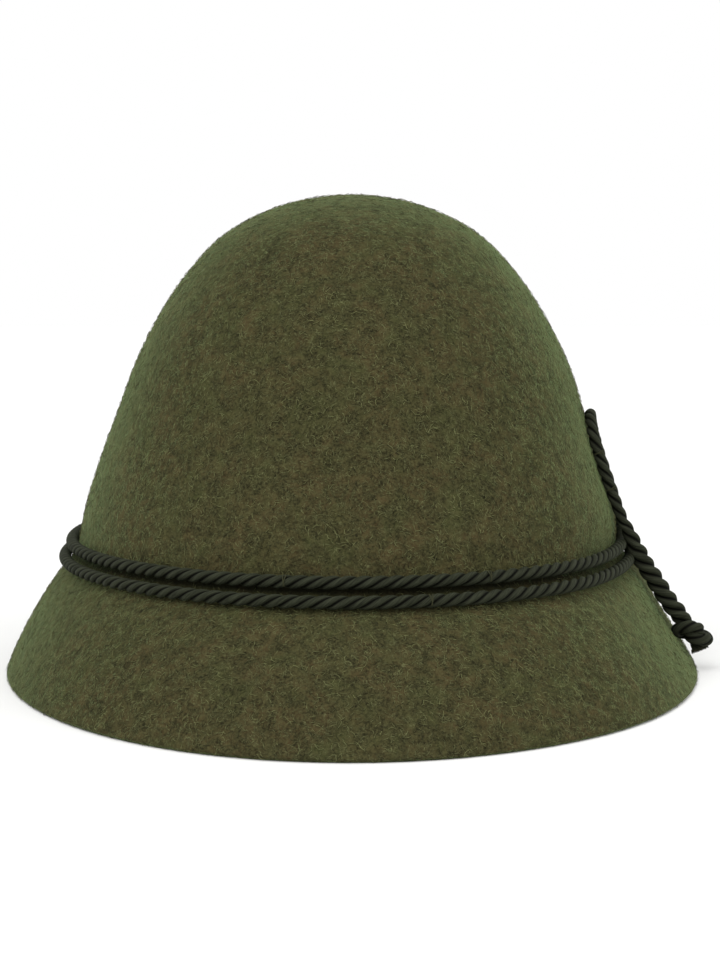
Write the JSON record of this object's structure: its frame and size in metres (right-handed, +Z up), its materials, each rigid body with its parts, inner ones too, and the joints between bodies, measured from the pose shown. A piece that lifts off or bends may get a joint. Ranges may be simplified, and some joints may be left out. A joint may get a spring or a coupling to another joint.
{
  "type": "tyrolean hat",
  "caption": "Felt hat with a domed crown and a steep brim all round, a doubled twisted cord round the crown's foot, a standing cord loop and a knotted cord tail.",
  "frame": {"origin": "on the resting plane, under the middle of the brim", "axes": "+Z up through the crown; +Y towards the back of the hat, so its front faces -Y; +X towards the wearer's left, where the loop and the tail are"},
  "size_m": [0.2125, 0.278, 0.1419],
  "materials": {
    "felt": "matte wool felt, loden green with a brown mottle",
    "cord": "dull three-ply twisted cord, near black green"
  },
  "bodies": {
    "root": {"felt_body": "felt", "band_cord_upper": "cord", "band_cord_lower": "cord", "side_loop": "cord", "tail_cord": "cord", "tail_knot": "cord"}
  },
  "joints": []
}
